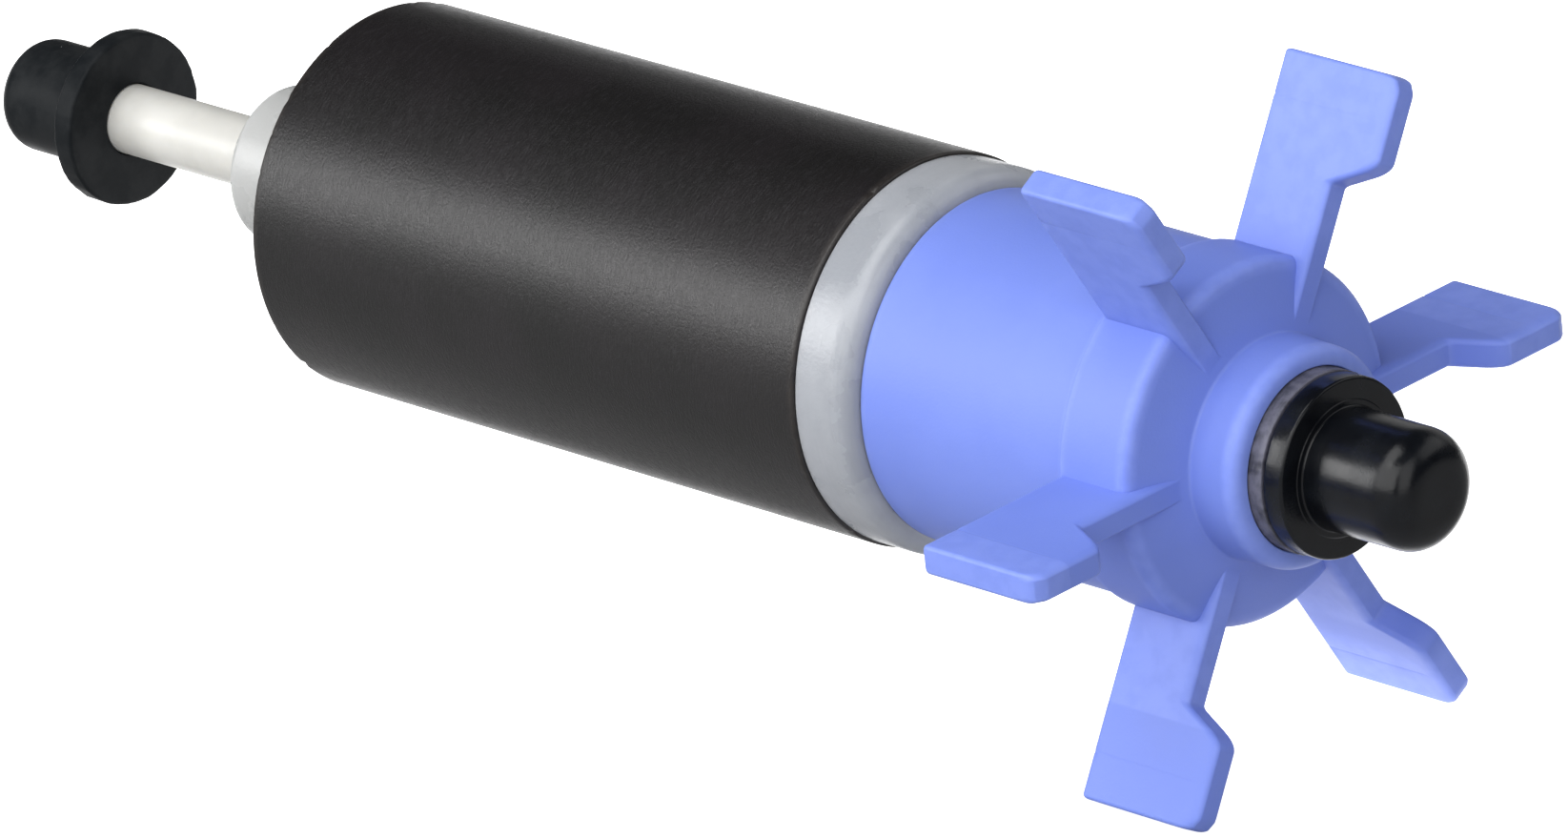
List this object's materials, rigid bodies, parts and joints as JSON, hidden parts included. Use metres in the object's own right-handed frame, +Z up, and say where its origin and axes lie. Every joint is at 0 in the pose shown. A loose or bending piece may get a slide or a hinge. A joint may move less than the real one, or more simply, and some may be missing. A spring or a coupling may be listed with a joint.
{
  "type": "magnet rotor and impeller assembly for a wave maker pump",
  "caption": "Magnet rotor on a ceramic shaft with a stepped paddle impeller and a rubber bearing cap at each end, for a magnet-drive aquarium or pond pump.",
  "frame": {"origin": "on the shaft's axis, halfway between the tips of the two rubber bearing caps", "axes": "+X along the shaft from the magnet to the impeller, +Z up"},
  "size_m": [0.136, 0.0514, 0.0486],
  "materials": {
    "ceramic": "ivory white fired ceramic, ground smooth",
    "front_rubber": "moulded black rubber, wet gloss",
    "rear_rubber": "moulded black rubber, matt",
    "washer": "grey, matt",
    "milky_plastic": "milky, slightly translucent moulding",
    "ferrite": "dark ground ferrite with fine scuffs round it",
    "bush": "black filled plastic, satin",
    "blue_plastic": "satin moulded plastic, periwinkle blue"
  },
  "bodies": {
    "shaft": {"shaft": "ceramic"},
    "front_cap": {"front_bearing_cap": "front_rubber"},
    "rear_cap": {"rear_bearing_cap": "rear_rubber"},
    "thrust_washers": {"front_thrust_washer": "washer", "rear_thrust_washer": "washer"},
    "rotor": {"rotor_core": "milky_plastic", "rotor_magnet": "ferrite", "front_bush": "bush", "rear_bush": "bush", "drive_dog": "milky_plastic", "start_damper": "rear_rubber"},
    "impeller": {"drive_hub": "blue_plastic", "impeller_wheel": "blue_plastic"}
  },
  "joints": [
    {"name": "rotor_float", "type": "slide", "parent": "shaft", "child": "thrust_washers", "axis": [1, 0, 0], "range_m": [-0.0152, 0]},
    {"name": "rotor_spin", "type": "hinge", "parent": "thrust_washers", "child": "rotor", "pos_m": [0, 0, 0], "axis": [1, 0, 0], "continuous": true},
    {"name": "impeller_play", "type": "hinge", "parent": "rotor", "child": "impeller", "pos_m": [0, 0, 0], "axis": [1, 0, 0], "range_deg": [-120, 120]},
    {"name": "front_cap_pull", "type": "slide", "parent": "shaft", "child": "front_cap", "axis": [1, 0, 0], "range_m": [0, 0.008]},
    {"name": "rear_cap_pull", "type": "slide", "parent": "shaft", "child": "rear_cap", "axis": [-1, 0, 0], "range_m": [0, 0.008]}
  ]
}
